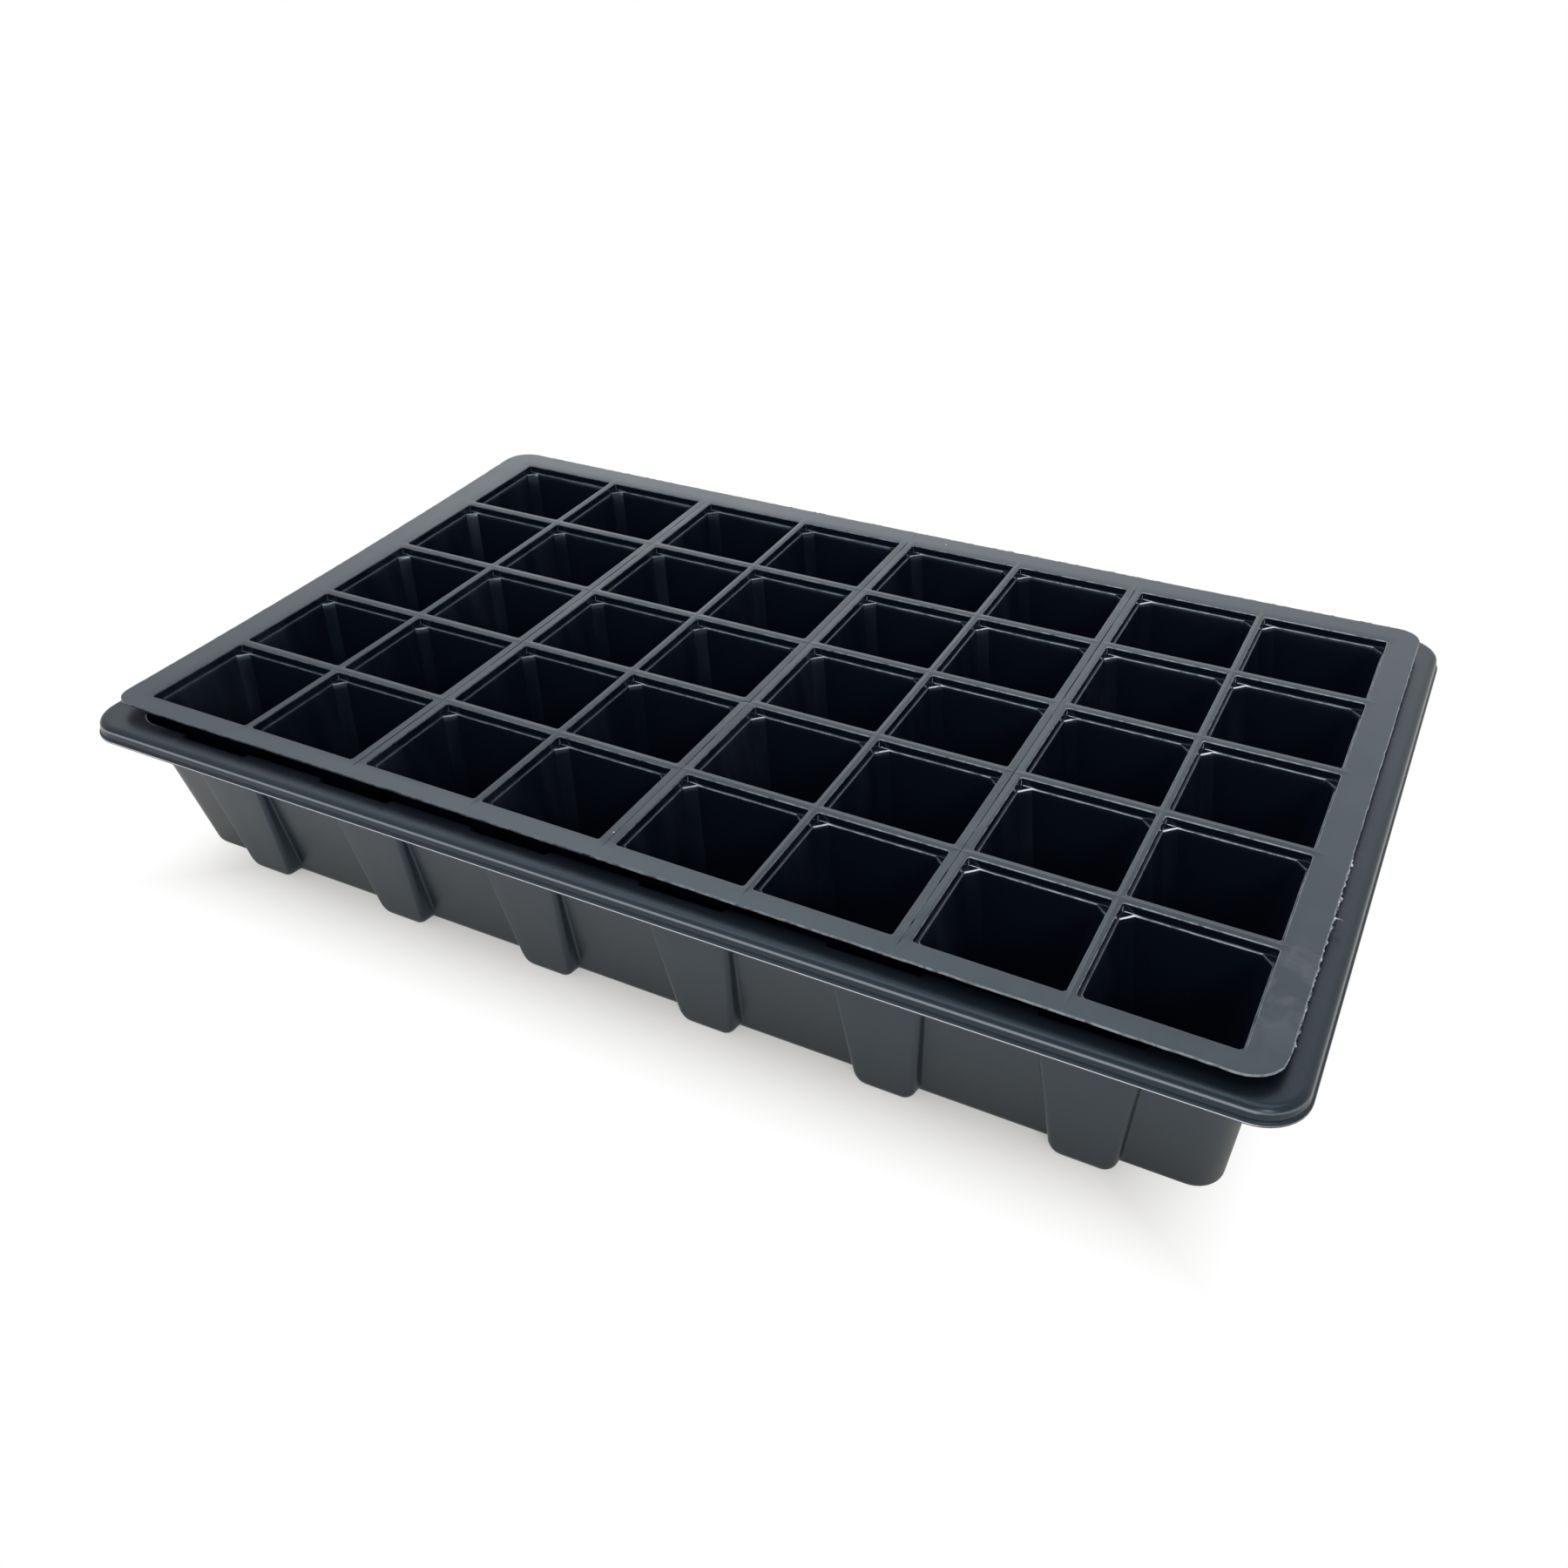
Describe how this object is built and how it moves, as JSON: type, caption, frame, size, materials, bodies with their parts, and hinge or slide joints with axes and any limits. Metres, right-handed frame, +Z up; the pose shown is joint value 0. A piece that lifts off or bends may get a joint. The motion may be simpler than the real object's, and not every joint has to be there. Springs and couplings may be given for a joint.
{
  "type": "cell seed tray",
  "caption": "Shallow rectangular outer tray with ribbed walls and a turned-down rim, holding a thin formed insert of square tapered cells that tears into strips along perforated webs.",
  "frame": {"origin": "centre of the base, on the surface that the tray stands on", "axes": "+X along the length, +Y across the width towards the back, +Z up"},
  "size_m": [0.38, 0.239, 0.061],
  "materials": {
    "tray_plastic": "satin moulded polypropylene",
    "insert_plastic": "glossy thermoformed polystyrene"
  },
  "bodies": {
    "tray": {"outer_tray": "tray_plastic"},
    "strip_1": {"cell_strip_1": "insert_plastic"},
    "strip_2": {"cell_strip_2": "insert_plastic"},
    "strip_3": {"cell_strip_3": "insert_plastic"},
    "strip_4": {"cell_strip_4": "insert_plastic"}
  },
  "joints": [
    {"name": "strip_1_lift", "type": "slide", "parent": "tray", "child": "strip_1", "axis": [0, 0, 1], "range_m": [0, 0.07]},
    {"name": "strip_2_lift", "type": "slide", "parent": "tray", "child": "strip_2", "axis": [0, 0, 1], "range_m": [0, 0.07]},
    {"name": "strip_3_lift", "type": "slide", "parent": "tray", "child": "strip_3", "axis": [0, 0, 1], "range_m": [0, 0.07]},
    {"name": "strip_4_lift", "type": "slide", "parent": "tray", "child": "strip_4", "axis": [0, 0, 1], "range_m": [0, 0.07]}
  ]
}
